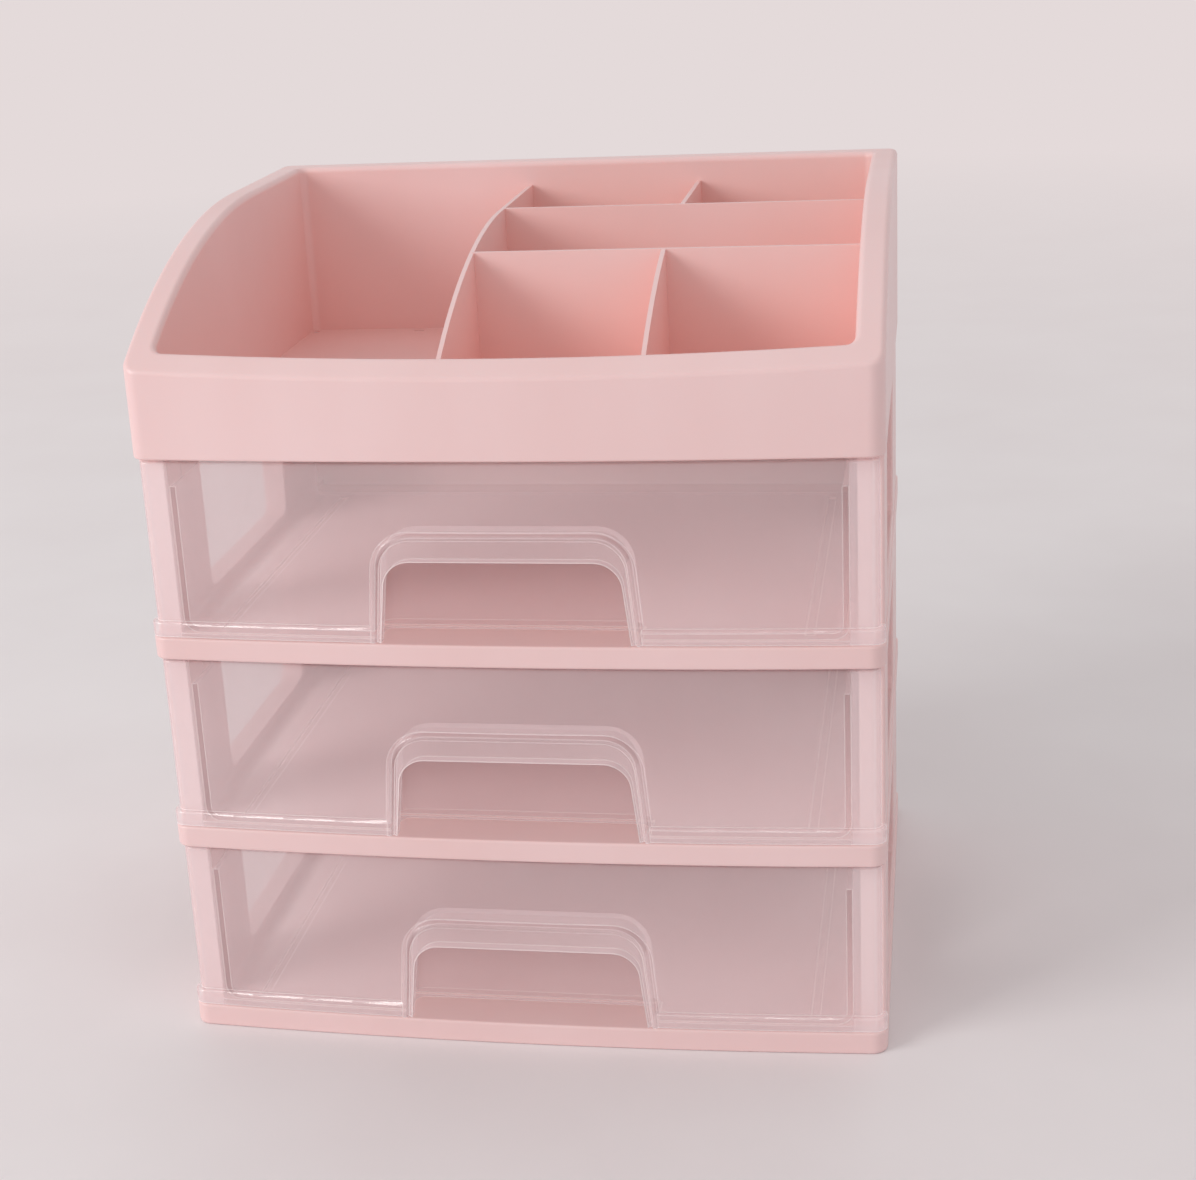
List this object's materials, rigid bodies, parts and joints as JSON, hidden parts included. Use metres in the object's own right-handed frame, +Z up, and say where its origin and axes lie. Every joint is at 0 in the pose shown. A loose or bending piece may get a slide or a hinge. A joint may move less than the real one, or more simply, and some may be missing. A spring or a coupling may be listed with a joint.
{
  "type": "makeup organizer",
  "caption": "Desktop makeup organizer with a divided tray on top, whose rim rises to the back, over clear drawers with arched finger pulls in a frame of stacked plates.",
  "frame": {"origin": "on the table, under the middle of the base plate", "axes": "+X to the right seen from the front, +Y to the back, +Z up; the drawers pull out towards -Y"},
  "size_m": [0.24, 0.196, 0.272],
  "materials": {
    "pink_shell": "smooth moulded, glossy",
    "clear_drawer": "clear, faintly pink"
  },
  "bodies": {
    "cabinet": {"base_plate": "pink_shell", "lower_shelf": "pink_shell", "upper_shelf": "pink_shell", "top_tray": "pink_shell", "side_frame_left_lower": "pink_shell", "side_frame_right_lower": "pink_shell", "back_panel_lower": "pink_shell", "side_frame_left_middle": "pink_shell", "side_frame_right_middle": "pink_shell", "back_panel_middle": "pink_shell", "side_frame_left_upper": "pink_shell", "side_frame_right_upper": "pink_shell", "back_panel_upper": "pink_shell"},
    "drawer_lower": {"drawer_lower": "clear_drawer"},
    "drawer_middle": {"drawer_middle": "clear_drawer"},
    "drawer_upper": {"drawer_upper": "clear_drawer"}
  },
  "joints": [
    {"name": "drawer_lower_slide", "type": "slide", "parent": "cabinet", "child": "drawer_lower", "axis": [0, -1, 0], "range_m": [0, 0.11]},
    {"name": "drawer_middle_slide", "type": "slide", "parent": "cabinet", "child": "drawer_middle", "axis": [0, -1, 0], "range_m": [0, 0.11]},
    {"name": "drawer_upper_slide", "type": "slide", "parent": "cabinet", "child": "drawer_upper", "axis": [0, -1, 0], "range_m": [0, 0.11]}
  ]
}
